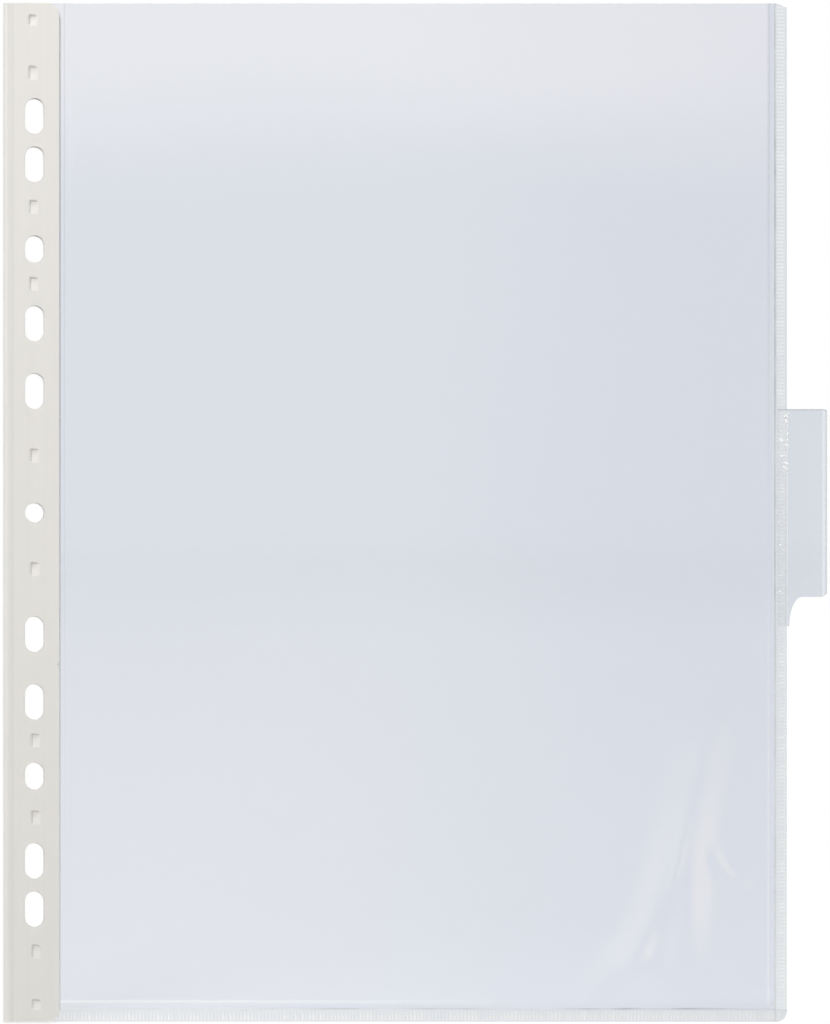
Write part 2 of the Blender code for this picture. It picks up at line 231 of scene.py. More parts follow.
# Binding strip: off-white polypropylene sheet, folded in a hairpin over the left edges of the films with a
# bead left standing at the fold, then punched for filing and staked through the films at pressed points.
STRIP_THICKNESS = 0.00045
LEAF_LEVEL = 0.00065  # middle of a leaf, from the middle of the strip
STRIP_CORNER_RADIUS = 0.0036
STRIP_CORNER_STEPS = 24
BEAD_PROUD = 0.00025
BEAD_BLEND = 0.0040
BEAD_STEPS = 32  # of a folded sheet's bead, and of the neck where a leaf blends into it
NECK_STEPS = 6
RIM_ROUND = 0.00006
RIM_ANGLE = 50  # degrees by which a rounded edge turns at least
HOLE_WIDTH = 0.00595
HOLE_SIDES = 72
LONG_PLAY = 0.00485  # how far a ring can shift along a slot
SHORT_PLAY = 0.00225
FILING_HOLES = (  # height over the round hole and play
    (0.0, 0.0), (0.0370, LONG_PLAY), (0.0576, LONG_PLAY), (0.0802, SHORT_PLAY), (0.1060, LONG_PLAY),
    (0.1207, LONG_PLAY),
)
WELD_PLAY = 0.0010
WELD_POINTS = (  # height over the round hole, and how much longer than the end ones
    (0.01725, WELD_PLAY), (0.06945, WELD_PLAY), (0.0929, WELD_PLAY), (0.1337, WELD_PLAY), (0.1498, 0.0),
)
WELD_LEAN = -0.0034  # the row of weld points runs a little askew of the holes
DIMPLE_SIZE = (0.0033, 0.0037)
DIMPLE_DEPTH = 0.0009  # in its upper left corner, from where the floor rises to almost nothing
DIMPLE_TILT = (0.56, 0.20, 0.24)  # share of it in the middle, more at the upper rim and less at the right one
DIMPLE_DRAFT = 0.0006
DIMPLE_SLIDE = (0.0002, -0.00005)  # how far the floor lies to the lower right of the mouth
DIMPLE_CORNER = 0.0008
DIMPLE_CORNER_STEPS = 6
POST_SIZE = (0.0035, 0.0043)
POST_CORNER = 0.0003
POST_CORNER_STEPS = 3
BACK_HOLE_SHIFT = (-0.0004, 0, -0.00012)  # the fold isn't quite square, so the leaves part a little
BACK_LEAF_SHORT = 0.0004
NICK = (-0.0461, 0.0005, 0.0006)  # height, half length and depth of a cut in the free edge
THROUGH = 0.005  # punches run this far past the middle of the sheets


def arc(centre, radii, start, end, steps):
    """Points of an elliptic arc between two angles in degrees, both ends included."""
    angles = [math.radians(start + (end - start) * step / steps) for step in range(steps + 1)]
    return [(centre[0] + radii[0] * math.cos(a), centre[1] + radii[1] * math.sin(a)) for a in angles]


def hairpin(leaf_x, fold_x, level, thickness, proud, blend):
    """Middle line of a folded sheet, as (x, y): front leaf, rounded bead at the fold, back leaf."""
    turn = 1 if fold_x > leaf_x[0] else -1
    radius = level + proud
    centre = turn * fold_x - thickness / 2 - radius
    run = math.sqrt((radius + blend) ** 2 - (level + blend) ** 2)
    lean = math.degrees(math.atan2(level + blend, run))
    neck = arc((centre - run, -level - blend), (blend, blend), 90, lean, NECK_STEPS)
    bead = arc((centre, 0), (radius, radius), lean - 180, 180 - lean, BEAD_STEPS)
    front = [(turn * x, -level) for x in leaf_x] + neck
    back = [(u, -v) for u, v in reversed(front)]
    return [(turn * u, v) for u, v in front + bead[1:-1] + back]


def from_bmesh(name, bm):
    """A closed shape with its faces turned outwards."""
    bmesh.ops.recalc_face_normals(bm, faces=bm.faces)
    mesh = bpy.data.meshes.new(name)
    bm.to_mesh(mesh)
    bm.free()
    return place(name, mesh)


def rings(name, outlines):
    """A closed shape through rings of points, each ring with one number of points."""
    bm = bmesh.new()
    loops = [[bm.verts.new(point) for point in outline] for outline in outlines]
    for low, high in zip(loops, loops[1:]):
        for at in range(len(low)):
            bm.faces.new((low[at - 1], low[at], high[at], high[at - 1]))
    bm.faces.new(loops[0])
    bm.faces.new(loops[-1])
    return from_bmesh(name, bm)


def prism(name, outline, near, far):
    """A front view outline, swept through the sheets."""
    return rings(name, [[(x, y, z) for x, z in outline] for y in (near, far)])


def rounded_box(width, length, radius, steps):
    """Outline of a box with round corners about the origin."""
    corners = ((1, 1, 0), (-1, 1, 90), (-1, -1, 180), (1, -1, 270))
    side, end = width / 2 - radius, length / 2 - radius
    return [point for u, v, turn in corners
            for point in arc((u * side, v * end), (radius, radius), turn, turn + 90, steps)]


def folded_sheet(name, path, heights, thickness):
    """A sheet bent along its middle line, with a row of points at each height, with its wall."""
    bm = bmesh.new()
    lines = [[bm.verts.new((x, y, z)) for x, y in path] for z in heights]
    for low, high in zip(lines, lines[1:]):
        for at in range(len(path) - 1):
            bm.faces.new((low[at], low[at + 1], high[at + 1], high[at]))
    sheet = from_bmesh(name, bm)
    wall = sheet.modifiers.new("wall", "SOLIDIFY")
    wall.thickness = thickness
    wall.offset = 0
    wall.use_even_offset = True
    return sheet


def boolean(piece, operation, tool):
    """Cuts or joins a piece with a tool, once it is settled."""
    step = piece.modifiers.new(tool.name, "BOOLEAN")
    step.operation = operation
    step.solver = "EXACT"
    step.object = tool


def settle(piece, *tools):
    """Makes a piece a plain mesh and takes its tools away."""
    result = piece.evaluated_get(bpy.context.evaluated_depsgraph_get())
    mesh = bpy.data.meshes.new_from_object(result)
    mesh.name = piece.name
    piece.modifiers.clear()
    piece.data = mesh
    for tool in tools:
        bpy.data.objects.remove(tool)


def new_tree(name, sockets):
    """A geometry tree with its named inputs, as (tree, input sockets)."""
    tree = bpy.data.node_groups.new(name, "GeometryNodeTree")
    tree.interface.new_socket("Geometry", in_out="OUTPUT", socket_type="NodeSocketGeometry")
    for label, kind in sockets.items():
        tree.interface.new_socket(label, in_out="INPUT", socket_type="NodeSocket" + kind)
    return tree, tree.nodes.new("NodeGroupInput").outputs


def grow(name, tree, sizes, mesh=None):
    """A plain mesh piece from a geometry tree."""
    piece = place(name, mesh or bpy.data.meshes.new(name))
    step = piece.modifiers.new(tree.name, "NODES")
    step.node_group = tree
    for item in tree.interface.items_tree:
        if item.in_out == "INPUT" and item.name in sizes:
            step[item.identifier] = sizes[item.name]
    settle(piece)
    return piece


punch_row, given = new_tree("punch_row", {"Geometry": "Geometry", "Punch": "Object", "Material": "Material"})
punch = add_node(punch_row, "GeometryNodeObjectInfo", {"Object": given["Punch"]}).outputs["Geometry"]
spot = add_node(punch_row, "GeometryNodeInputPosition").outputs[0]
height = add_node(punch_row, "ShaderNodeSeparateXYZ", {0: spot}).outputs["Z"]
punch = {"Geometry": punch, "Name": "half", "Value": calc(punch_row, "SIGN", height)}
punch = add_node(punch_row, "GeometryNodeStoreNamedAttribute", punch).outputs[0]
row = {"Points": given["Geometry"], "Instance": punch}
row = add_node(punch_row, "GeometryNodeInstanceOnPoints", row).outputs[0]
row = add_node(punch_row, "GeometryNodeRealizeInstances", {"Geometry": row}).outputs[0]
half = add_node(punch_row, "GeometryNodeInputNamedAttribute", {"Name": "half"}).outputs[0]
play = add_node(punch_row, "GeometryNodeInputNamedAttribute", {"Name": "play"}).outputs[0]
shift = calc(punch_row, "MULTIPLY", calc(punch_row, "MULTIPLY", half, play), 0.5)
shift = add_node(punch_row, "ShaderNodeCombineXYZ", {"Z": shift}).outputs[0]
row = add_node(punch_row, "GeometryNodeSetPosition", {"Geometry": row, "Offset": shift}).outputs[0]
row = add_node(punch_row, "GeometryNodeSetMaterial", {"Geometry": row, "Material": given["Material"]})
add_node(punch_row, "NodeGroupOutput", {"Geometry": row.outputs[0]})


def punches(name, punch, spots, material, lean=0.0):
    """One punch at each height over and under the round hole; a slot's two ends stand its play apart."""
    both = [(side * height, play) for height, play in spots for side in ((1, -1) if height else (1,))]
    mesh = bpy.data.meshes.new(name)
    mesh.from_pydata([(lean * height, 0, height) for height, play in both], [], [])
    plays = mesh.attributes.new("play", "FLOAT", "POINT").data
    plays.foreach_set("value", [play for height, play in both])
    row = grow(name, punch_row, {"Punch": punch, "Material": material}, mesh)
    bpy.data.objects.remove(punch)
    return row


# Off-white polypropylene sheet, calendered to a fine satin grain, with faint lines along its length from the
# rolls. Painted highlight makes it a shade whiter along the bead at the fold, and painted shade makes it
# greyer in a line beside the bead. The grain is drawn at three times its real 0.15 mm so that it shows.
GRAIN = 0.00045
GRAIN_DEPTH = 0.00005
GRAIN_STRENGTH = 0.12
SATIN = (0.4, 0.55)  # roughness of the finest and the coarsest grain
ROLL_LINE = 0.0016
ROLL_LINE_SHARE = 0.02  # of its length that a line is wide
FOLD_HIGHLIGHT = (0.0030, 0.0012)  # where the painted highlight starts and where it is whole, from the fold
GROOVE_SHADE_PLACE = 0.0028  # middle of the grey line of painted shade, from the fold
GROOVE_SHADE_WIDTH = 0.0009
PLASTIC_IOR = 1.49


def mixed(tree, share, first, second):
    """A colour that goes from the first to the second with a share."""
    return add_node(tree, "ShaderNodeMix", {0: share, 6: first, 7: second}, data_type="RGBA").outputs[2]


polypropylene = bpy.data.materials.new("off_white_polypropylene_sheet")
polypropylene.use_nodes = True
tree = polypropylene.node_tree
shader = tree.nodes["Principled BSDF"]
spot = add_node(tree, "ShaderNodeTexCoord").outputs["Object"]
grain = add_node(tree, "ShaderNodeTexNoise", {"Vector": spot, "Scale": 1 / GRAIN, "Detail": 2.0})
drawn = add_node(tree, "ShaderNodeMapping", {"Vector": spot, "Scale": (1, 1, ROLL_LINE_SHARE)}).outputs[0]
roll_lines = add_node(tree, "ShaderNodeTexNoise", {"Vector": drawn, "Scale": 1 / ROLL_LINE, "Detail": 3.0})
across = add_node(tree, "ShaderNodeSeparateXYZ", {0: spot}).outputs["X"]
strip_low, strip_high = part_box("binding_strip")
# Painted highlight: the bead at the fold is painted a shade whiter.
bead_highlight = {"Value": across, "From Min": strip_low[0] + FOLD_HIGHLIGHT[0],
            "From Max": strip_low[0] + FOLD_HIGHLIGHT[1]}
bead_highlight = add_node(tree, "ShaderNodeMapRange", bead_highlight).outputs[0]
# Painted shade: a grey line beside the bead.
groove_shade = calc(tree, "ABSOLUTE", calc(tree, "SUBTRACT", across, strip_low[0] + GROOVE_SHADE_PLACE))
groove_shade = {"Value": groove_shade, "From Min": GROOVE_SHADE_WIDTH, "From Max": 0.0}
groove_shade = add_node(tree, "ShaderNodeMapRange", groove_shade, interpolation_type="SMOOTHSTEP").outputs[0]
tone = mixed(tree, roll_lines.outputs["Fac"], linear("DDDBD8"), linear("E3E1DF"))
tone = mixed(tree, bead_highlight, tone, linear("E9E7E4"))
tone = mixed(tree, groove_shade, tone, linear("D8D7D3"))
tree.links.new(tone, shader.inputs["Base Color"])
satin = {"Value": grain.outputs["Fac"], "To Min": SATIN[0], "To Max": SATIN[1]}
tree.links.new(add_node(tree, "ShaderNodeMapRange", satin).outputs[0], shader.inputs["Roughness"])
relief = {"Height": grain.outputs["Fac"], "Strength": GRAIN_STRENGTH, "Distance": GRAIN_DEPTH}
tree.links.new(add_node(tree, "ShaderNodeBump", relief).outputs[0], shader.inputs["Normal"])
shader.inputs["IOR"].default_value = PLASTIC_IOR

leaf_face = LEAF_LEVEL + STRIP_THICKNESS / 2
fold_x, edge_x, half_height = strip_low[0], strip_high[0], strip_high[2]
strip_path = hairpin((edge_x,), fold_x, LEAF_LEVEL, STRIP_THICKNESS, BEAD_PROUD, BEAD_BLEND)
strip_path[-1] = (edge_x - BACK_LEAF_SHORT, LEAF_LEVEL)
overrun = half_height + THROUGH
strip = folded_sheet("punched_binding_strip", strip_path, (-overrun, overrun), STRIP_THICKNESS)
strip.data.materials.append(polypropylene)

corner = (STRIP_CORNER_RADIUS, STRIP_CORNER_RADIUS)
side, end = edge_x - STRIP_CORNER_RADIUS, half_height - STRIP_CORNER_RADIUS
outline = [(fold_x - THROUGH, half_height), (fold_x - THROUGH, -half_height)]
outline += arc((side, -end), corner, -90, 0, STRIP_CORNER_STEPS)
outline += [(edge_x, NICK[0] - NICK[1]), (edge_x - NICK[2], NICK[0]), (edge_x, NICK[0] + NICK[1])]
outline += arc((side, end), corner, 0, 90, STRIP_CORNER_STEPS)
strip_blank = prism("strip_blank", outline, -THROUGH, THROUGH)

half_turn = 180 / HOLE_SIDES  # no corner lies level with the middle, where it would be at neither end
hole_outline = arc((0, 0), (HOLE_WIDTH / 2, HOLE_WIDTH / 2), half_turn, 360 - half_turn, HOLE_SIDES - 1)
front_punch = prism("front_punch", hole_outline, -THROUGH, 0)
front_punches = punches("front_punches", front_punch, FILING_HOLES, polypropylene)
back_punch = prism("back_punch", hole_outline, 0, THROUGH)
back_punches = punches("back_punches", back_punch, FILING_HOLES, polypropylene)
back_punches.data.transform(Matrix.Translation(BACK_HOLE_SHIFT))

mouth = rounded_box(*DIMPLE_SIZE, DIMPLE_CORNER, DIMPLE_CORNER_STEPS)
floor_size = [length - 2 * DIMPLE_DRAFT for length in DIMPLE_SIZE]
dimple_floor = []
for x, z in rounded_box(*floor_size, DIMPLE_CORNER - DIMPLE_DRAFT, DIMPLE_CORNER_STEPS):
    tilt = DIMPLE_TILT[0] + DIMPLE_TILT[1] * z / (floor_size[1] / 2)
    tilt -= DIMPLE_TILT[2] * x / (floor_size[0] / 2)
    dimple_floor.append((x + DIMPLE_SLIDE[0], DIMPLE_DEPTH * tilt - leaf_face, z + DIMPLE_SLIDE[1]))
mouths = [[(x, y, z) for x, z in mouth] for y in (-leaf_face, -THROUGH)]
dimple_punch = rings("dimple_punch", [dimple_floor] + mouths)
dimple_punches = punches("dimple_punches", dimple_punch, WELD_POINTS, polypropylene, WELD_LEAN)
post = prism("post", rounded_box(*POST_SIZE, POST_CORNER, POST_CORNER_STEPS), -LEAF_LEVEL, LEAF_LEVEL)
posts = punches("posts", post, WELD_POINTS, polypropylene, WELD_LEAN)

boolean(strip, "INTERSECT", strip_blank)
boolean(strip, "UNION", posts)
boolean(strip, "DIFFERENCE", dimple_punches)
boolean(strip, "DIFFERENCE", front_punches)
boolean(strip, "DIFFERENCE", back_punches)
rims = strip.modifiers.new("rims", "BEVEL")
rims.width = RIM_ROUND
rims.segments = 2
rims.limit_method = "ANGLE"
rims.angle_limit = math.radians(RIM_ANGLE)
settle(strip, strip_blank, dimple_punches, posts)
strip.data.shade_smooth()
even = strip.modifiers.new("even", "WEIGHTED_NORMAL")
even.weight = 100
settle(strip)
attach(strip, "binding")
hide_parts("binding_strip")


# Films: two clear polypropylene sheets, held in the strip on the left, welded to each other on the right and
# at the bottom, and open at the top. Inside the welds they rise over a shoulder to leave room for paper, and
# the front one has been pulled into a fan of soft wrinkles towards its lower right corner.
FILM_THICKNESS = 0.0002
FILM_LEVEL = 0.000175  # middle of a pressed film, from the middle of the panel
SEAM_WIDTH = 0.00365
FRONT_RISE = 0.0003
BACK_RISE = 0.0001
SHOULDER_RUN = 0.0021
SHOULDER_START = 0.0009  # from the flex line
WINDOW_PLAY = 0.0004  # by which the window for a post is larger than the post
SHARP_ANGLE = 40  # degrees by which an edge that isn't shaded smooth turns at least
HOLES_END = 0.004  # x past which there is no filing hole
HOLES_STEP = 0.004  # longest step of a film's grid up to there
EDGE_STEP = 0.0018  # from there to the strip's free edge
FLEX_STEP = 0.00015  # over the flex line
FINE_STEP = 0.0002  # over the shoulders and the rim of the mouth
FILM_STEP = 0.0022  # on the open film
FOLD_STEP = 0.0009  # among the wrinkles
FOLDS_FROM = (0.158, -0.055)  # x to the right of which and z under which the wrinkles lie
WELD_STEP = 0.0001  # beside the weld lines
WELD_NEAR = 0.0006  # how wide that stretch is
WELD_LEAD = 0.0012  # how far before the shoulder of a weld the fine steps start
WELD_GAP = 0.00001  # between a film's grid and the seams
MOUTH_RIM = 0.0006
ROUNDING = 1e-6  # share of a step that adds no further one
WRINKLES = (  # height, half width, then pixels of the picture that the crest runs through
    (0.00042, 0.0045, (584, 1000), (618, 964), (642, 945), (652, 915), (658, 890), (665, 860), (674, 830)),
    (0.00052, 0.0072, (678, 985), (682, 960), (683, 930), (684, 900), (685, 870), (690, 811), (705, 755),
     (722, 712)),
    (0.00010, 0.0015, (664, 915), (671, 887), (677, 862), (683, 831), (688, 805)),
    (0.00005, 0.0018, (688, 805), (700, 765), (714, 735), (731, 705)),
    (0.00025, 0.0052, (640, 918), (634, 942), (638, 964), (658, 978), (692, 990)),
    (0.00015, 0.0020, (713, 848), (718, 865), (730, 880), (742, 885), (752, 873)),
    (0.00008, 0.0028, (735, 935), (737, 958), (735, 978)),
)
CREST_POINTS = 60
CREST_ROUNDS = 6  # how often a crest's corners are smoothed
CREST_END = 0.15  # radians of the half wave that are left off at both ends of a crest
FRONT_SLACK = (0.00012, (41, 17), (-9, 23), 0.0)  # height, two waves' radians per metre in x and z, start
BACK_SLACK = (0.0001, (31, -13), (11, 19), 1.0)

margin_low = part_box("front_film_margin")[0]
page_low, page_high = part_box("front_film")
flex_x = frame["record"]["behaviour"]["joints"][0]["pos_m"][0]
weld_x = page_high[0] - SEAM_WIDTH
weld_z = page_low[2] + SEAM_WIDTH


def stations(*stops):
    """Places along a sheet: each stop is where a stretch ends and its longest step."""
    places = [stops[0][0]]
    for end, step in stops[1:]:
        count = max(1, math.ceil((end - places[-1]) / step - ROUNDING))
        places += list(np.linspace(places[-1], end, count + 1)[1:])
    return np.array(places)


def ramp(distance):
    """Smooth rise from 0 to 1 over a shoulder."""
    share = np.clip(distance / SHOULDER_RUN, 0, 1)
    return share * share * (3 - 2 * share)


def bump(distance, width):
    """A soft hill of height 1 with its half width."""
    return np.exp(-(distance / width) ** 2)


def wrinkle_height(x, z):
    """Soft crests through the picture's points; each dies away towards its ends."""
    total = np.zeros_like(x)
    for height, width, *pixels in WRINKLES:
        points = np.array([from_pixel(*pixel) for pixel in pixels])
        fine = np.linspace(0, len(points) - 1, CREST_POINTS)
        whole = np.arange(len(points))
        crest_x, crest_z = (np.interp(fine, whole, points[:, axis]) for axis in (0, 1))
        for _ in range(CREST_ROUNDS):
            crest_x[1:-1] = (crest_x[:-2] + 2 * crest_x[1:-1] + crest_x[2:]) / 4
            crest_z[1:-1] = (crest_z[:-2] + 2 * crest_z[1:-1] + crest_z[2:]) / 4
        taper = np.sin(np.linspace(CREST_END, math.pi - CREST_END, CREST_POINTS))
        gap = np.hypot(x[..., None] - crest_x, z[..., None] - crest_z)
        near = np.argmin(gap, axis=-1)
        total += height * taper[near] * bump(np.min(gap, axis=-1), width)
    return total


def slack(x, z, height, first, second, start):
    """Long shallow waves between the welds, where two trains of them cross."""
    return height * np.sin(x * first[0] + z * first[1] + start) * np.sin(z * second[1] + x * second[0])


def front_waves(x, z):
    return wrinkle_height(x, z) + slack(x, z, *FRONT_SLACK)


def back_waves(x, z):
    return slack(x, z, *BACK_SLACK)


columns = stations((margin_low[0], 0), (HOLES_END, HOLES_STEP), (edge_x, EDGE_STEP),
                   (flex_x + SHOULDER_START, FLEX_STEP), (flex_x + SHOULDER_START + SHOULDER_RUN, FINE_STEP),
                   (FOLDS_FROM[0], FILM_STEP), (weld_x - SHOULDER_RUN - WELD_LEAD, FOLD_STEP),
                   (weld_x - WELD_NEAR, FINE_STEP), (weld_x - WELD_GAP, WELD_STEP))
levels = stations((weld_z + WELD_GAP, 0), (weld_z + WELD_NEAR, WELD_STEP),
                  (weld_z + SHOULDER_RUN + WELD_LEAD, FINE_STEP), (FOLDS_FROM[1], FOLD_STEP),
                  (page_high[2] - MOUTH_RIM, FILM_STEP), (page_high[2], FINE_STEP))


# Marks in the films: the heated wheel and the flexing press darker lines. A shadow beside the strip's free
# edge and shade on the side weld's shoulder are painted in darker, and highlights on the weld shoulders and
# along the bottom weld are painted in clearer. In a pair the first value holds at the foot or the left end,
# and the second is what the top or the right end adds. A gap is measured from the weld, or from the strip's
# edge.
MARK_LINE_WIDTH = 0.00022
EDGE_SHADOW = (0.19, 0.42)  # painted shadow beside the strip's free edge
EDGE_SHADOW_GAP = 0.00015
FLEX_LINE = 0.12
SIDE_LINE = (0.3, 0.52)  # along the side weld
SIDE_LINE_GAP = 0.00014
SIDE_CHANCE = (0.6, 0.8)  # its least share and what chance adds
SIDE_PATCH = 0.004  # length over which chance changes it
FOOT_LINE = (0.1, 0.9)  # along the bottom weld
FOOT_LINE_GAP = 0.0003
FOOT_CHANCE = (0.05, 0.6)
FOOT_PATCH = 0.006
FOOT_SHADE = 0.05  # of the film over the bottom weld, at the right end
FOOT_SHADE_GAP = 0.0018
SHOULDER_SHADE = 0.13  # painted shade on the shoulder of the side weld, in the upper half
SHOULDER_SHADE_GAP = 0.0019
SHOULDER_SHADE_WIDTH = 0.0004
UPPER_HALF = (-0.8, 2)
SHOULDER_HIGHLIGHT = 0.1  # painted highlight, on the same shoulder, in the lower half
SHOULDER_HIGHLIGHT_GAP = 0.0022
SHOULDER_HIGHLIGHT_WIDTH = 0.0003
LOWER_HALF = (1.2, -2)
HIGHLIGHT_END = 0.0012  # how far from the other weld the painted highlights end
FOOT_HIGHLIGHT = (0.36, -0.5)  # painted highlight, on the shoulder of the bottom weld
FOOT_HIGHLIGHT_RANGE = (0.04, 0.3)  # least and most of it
FOOT_HIGHLIGHT_GAP = 0.0025
FOOT_HIGHLIGHT_WIDTH = 0.00042
FOOT_HIGHLIGHT_CHANCE = (0.7, 0.5)
FOOT_HIGHLIGHT_PATCH = 0.03
FOOT_GLEAM = 0.03  # painted highlight, between that and the bottom weld, at the left end
FOOT_GLEAM_GAP = 0.0012
FOOT_GLEAM_WIDTH = 0.0008
FOOT_RIM = (0.4, -0.4)  # painted highlight, right on the bottom weld
RIGHT_START = 0.05  # share of the page's width before which everything counts as the left end
CHANCE_KNOTS = 400
WELD_SEED = 5


def uneven(along, step, seed):
    """A smooth random share from 0 to 1 along a line."""
    knots = np.random.default_rng(seed).random(CHANCE_KNOTS)
    return np.interp(along / step, np.arange(CHANCE_KNOTS) - CHANCE_KNOTS // 2, knots)


def graded(pair, share):
    """A pair's value at a share of the way to its far end."""
    return pair[0] + pair[1] * share


def corners_of(piece):
    spots = np.empty(3 * len(piece.data.vertices))
    piece.data.vertices.foreach_get("co", spots)
    return spots.reshape(-1, 3).T


def mark(piece, name, share):
    """Keeps a share from 0 to 1 at each corner of a piece, for its material."""
    piece.data.attributes.new(name, "FLOAT", "POINT").data.foreach_set("value", np.clip(share, 0, 1))


def height_share(z):
    return np.clip(0.5 + z / (page_high[2] - page_low[2]), 0, 1)


def right_share(x):
    return np.clip(x / page_high[0] - RIGHT_START, 0, 1)


def weld_lines(x, z):
    """How deep the heated wheel's inner edge pressed its line, which is darkest high on the right."""
    side_line = graded(SIDE_LINE, height_share(z)) * graded(SIDE_CHANCE, uneven(z, SIDE_PATCH, WELD_SEED))
    foot_line = graded(FOOT_CHANCE, uneven(x, FOOT_PATCH, WELD_SEED + 1) ** 2)
    foot_line *= graded(FOOT_LINE, right_share(x))
    side_line *= bump(x - weld_x - SIDE_LINE_GAP, MARK_LINE_WIDTH)
    return np.maximum(side_line, foot_line * bump(z - weld_z - FOOT_LINE_GAP, MARK_LINE_WIDTH))


def mark_film(sheet):
    """Darker pressed lines with painted shadow and shade, and clearer painted highlights."""
    x, y, z = corners_of(sheet)
    above, beside = height_share(z), right_share(x)
    straight = np.abs(z) < half_height - STRIP_CORNER_RADIUS
    # Darker: pressed lines, a painted shadow beside the strip's edge and painted shade on the side shoulder.
    crease = graded(EDGE_SHADOW, above) * straight * bump(x - edge_x - EDGE_SHADOW_GAP, MARK_LINE_WIDTH)
    crease += FLEX_LINE * above * bump(x - flex_x, MARK_LINE_WIDTH)
    crease += weld_lines(x, z)
    crease += FOOT_SHADE * beside ** 2 * (1 - ramp(z - weld_z - FOOT_SHADE_GAP))
    upper = np.clip(graded(UPPER_HALF, above), 0, 1)
    crease += SHOULDER_SHADE * upper * bump(x - weld_x + SHOULDER_SHADE_GAP, SHOULDER_SHADE_WIDTH)
    mark(sheet, "crease", crease)
    # Clearer: painted highlights on the weld shoulders and along the bottom weld.
    lower = np.clip(graded(LOWER_HALF, above), 0, 1)
    stretch = SHOULDER_HIGHLIGHT * lower * bump(x - weld_x + SHOULDER_HIGHLIGHT_GAP, SHOULDER_HIGHLIGHT_WIDTH) * (z > weld_z + HIGHLIGHT_END)
    chance = graded(FOOT_HIGHLIGHT_CHANCE, uneven(x, FOOT_HIGHLIGHT_PATCH, WELD_SEED + 2))
    bottom_highlight = np.clip(graded(FOOT_HIGHLIGHT, beside), *FOOT_HIGHLIGHT_RANGE) * chance
    bottom_highlight = bottom_highlight * bump(z - weld_z - FOOT_HIGHLIGHT_GAP, FOOT_HIGHLIGHT_WIDTH)
    stretch += bottom_highlight * (x < weld_x - HIGHLIGHT_END) * (x > edge_x)
    stretch += FOOT_GLEAM * (1 - beside) * bump(z - weld_z - FOOT_GLEAM_GAP, FOOT_GLEAM_WIDTH) * (x > edge_x)
    stretch += graded(FOOT_RIM, beside) * bump(z - weld_z, MARK_LINE_WIDTH)
    mark(sheet, "stretch", stretch)


def finish_film(piece):
    """Smooth between its sharp rims, and too clear to cast a shadow."""
    piece.data.shade_smooth()
    piece.data.set_sharp_from_angle(angle=math.radians(SHARP_ANGLE))
    piece.visible_shadow = False


def film_sheet(name, side, rise, waves):
    """One film from its hidden edge in the strip to the weld lines, with its wall."""
    x, z = np.meshgrid(columns, levels)
    lift = ramp(x - flex_x - SHOULDER_START) * ramp(weld_x - x) * ramp(z - weld_z)
    y = side * (FILM_LEVEL + lift * (rise + waves(x, z)))
    bm = bmesh.new()
    grid = [[bm.verts.new(point) for point in zip(*row)] for row in zip(x, y, z)]
    for low, high in zip(grid, grid[1:]):
        for at in range(len(columns) - 1):
            corners = (low[at], low[at + 1], high[at + 1], high[at])
            bm.faces.new(corners if side < 0 else corners[::-1])
    mesh = bpy.data.meshes.new(name)
    bm.to_mesh(mesh)
    bm.free()
    mesh.materials.append(film_plastic)
    sheet = place(name, mesh)
    wall = sheet.modifiers.new("wall", "SOLIDIFY")
    wall.thickness = FILM_THICKNESS
    wall.offset = 0
    boolean(sheet, "DIFFERENCE", front_punches if side < 0 else back_punches)
    boolean(sheet, "DIFFERENCE", windows)
    settle(sheet)
    mark_film(sheet)
    finish_film(sheet)
    return sheet


# Clear cast polypropylene film: glassy and faintly blue-grey, with the slight haze and orange peel of a film
# cooled on a roll. Pressed lines are darker and fused places clearer; painted shade and shadow darken it and
# painted highlights whiten it in places. The peel is 6 mm from crest to crest.
PEEL = 0.006
PEEL_DEPTH = 0.00008
PEEL_STRENGTH = 0.1
HAZE = 0.0025
HAZE_ROUGHNESS = (0.03, 0.07)
MARK_AND_SHADE_GREY = "A9ADB3"


def clear_film(name, colour, mark_and_shade_colour=MARK_AND_SHADE_GREY):
    """A clear film that goes white where it is fused clear and in painted highlights, and takes the grey
    colour in pressed lines and in painted shade and shadow.
    """
    material = bpy.data.materials.new(name)
    material.use_nodes = True
    tree = material.node_tree
    shader = tree.nodes["Principled BSDF"]
    spot = add_node(tree, "ShaderNodeTexCoord").outputs["Object"]
    tone = linear(colour)
    for share, other in (("stretch", "FFFFFF"), ("crease", mark_and_shade_colour)):
        share = add_node(tree, "ShaderNodeAttribute", attribute_name=share).outputs["Fac"]
        tone = mixed(tree, share, tone, linear(other))
    tree.links.new(tone, shader.inputs["Base Color"])
    haze = add_node(tree, "ShaderNodeTexNoise", {"Vector": spot, "Scale": 1 / HAZE, "Detail": 3.0})
    haze = {"Value": haze.outputs["Fac"], "To Min": HAZE_ROUGHNESS[0], "To Max": HAZE_ROUGHNESS[1]}
    tree.links.new(add_node(tree, "ShaderNodeMapRange", haze).outputs[0], shader.inputs["Roughness"])
    peel = add_node(tree, "ShaderNodeTexNoise", {"Vector": spot, "Scale": 1 / PEEL, "Detail": 1.0})
    peel = {"Height": peel.outputs["Fac"], "Strength": PEEL_STRENGTH, "Distance": PEEL_DEPTH}
    tree.links.new(add_node(tree, "ShaderNodeBump", peel).outputs[0], shader.inputs["Normal"])
    shader.inputs["Transmission Weight"].default_value = 1.0
    shader.inputs["IOR"].default_value = PLASTIC_IOR
    return material


